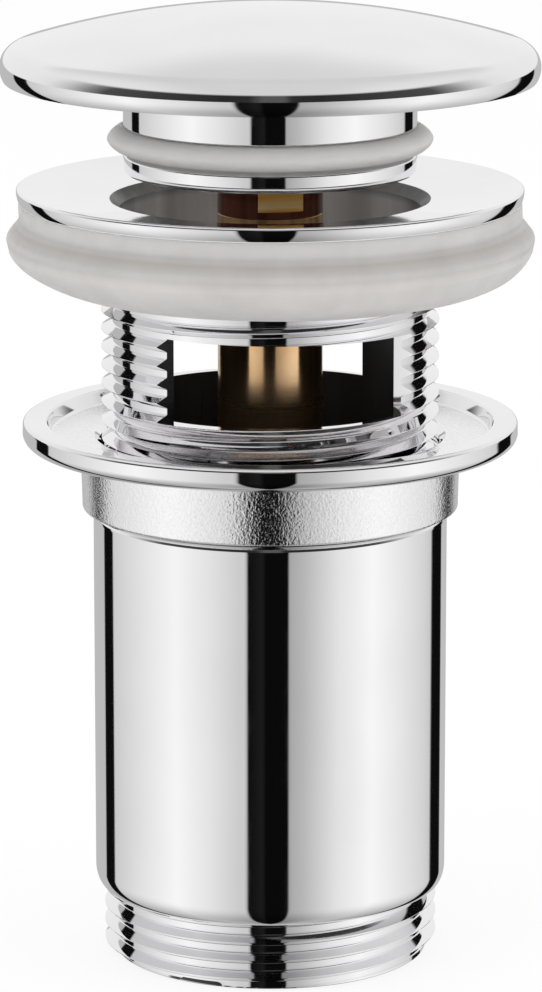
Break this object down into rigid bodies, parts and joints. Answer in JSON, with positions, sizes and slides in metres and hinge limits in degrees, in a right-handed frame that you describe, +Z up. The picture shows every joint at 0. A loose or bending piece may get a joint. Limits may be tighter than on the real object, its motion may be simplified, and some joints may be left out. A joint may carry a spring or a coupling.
{
  "type": "pop up basin waste",
  "caption": "Pop-up basin waste with domed press cap, dished flange, slotted threaded stem, soft gasket, flanged back nut and polished tail pipe.",
  "frame": {"origin": "centre of the outlet end, on the waste's axis, where the part stands", "axes": "+Z up the axis from the outlet to the cap, -Y the front with one overflow window, +X to the right seen from the front"},
  "size_m": [0.0664, 0.0664, 0.1195],
  "materials": {
    "chrome_polished": "mirror-polished chrome plate on brass",
    "chrome_cast": "chrome plate over an as-cast, sand-textured surface",
    "brass_turned": "turned brass with fine tool marks",
    "silicone_white": "matt translucent white silicone",
    "rubber_black": "moulded black rubber",
    "steel_bright": "bright drawn stainless steel"
  },
  "bodies": {
    "waste_body": {"upper_body": "chrome_polished", "basin_gasket": "silicone_white", "core_bridge": "chrome_cast", "core_washer": "steel_bright", "core_lock_nut": "brass_turned", "core_housing": "brass_turned", "core_head": "brass_turned", "rod_seal": "rubber_black", "guide_bush": "brass_turned", "plug_spring": "steel_bright"},
    "plug": {"cap": "chrome_polished", "plug_neck": "chrome_polished", "plug_seal": "silicone_white", "plug_lock_washer": "steel_bright", "plunger": "brass_turned"},
    "latch": {"latch_ring": "brass_turned", "latch_pin": "steel_bright"},
    "back_nut": {"back_nut": "chrome_cast"},
    "tail": {"tail_pipe": "chrome_polished", "tail_seal": "rubber_black"}
  },
  "joints": [
    {"name": "plug_slide", "type": "slide", "parent": "waste_body", "child": "plug", "axis": [0, 0, 1], "range_m": [-0.00635, 0], "stiffness_N_per_m": 400, "springref_m": 0.012, "deforming": ["plug_spring"]},
    {"name": "latch_turn", "type": "hinge", "parent": "waste_body", "child": "latch", "pos_m": [0, 0, 0.082], "axis": [0, 0, 1], "range_deg": [0, 36]},
    {"name": "nut_screw", "type": "slide", "parent": "waste_body", "child": "back_nut", "axis": [0, 0, 1], "range_m": [0, 0.0172]},
    {"name": "tail_screw", "type": "slide", "parent": "waste_body", "child": "tail", "axis": [0, 0, 1], "range_m": [-0.03, 0]}
  ],
  "couplings": [
    {"joint": "latch_turn", "follows": "plug_slide", "rad_per_m": -98.9}
  ]
}
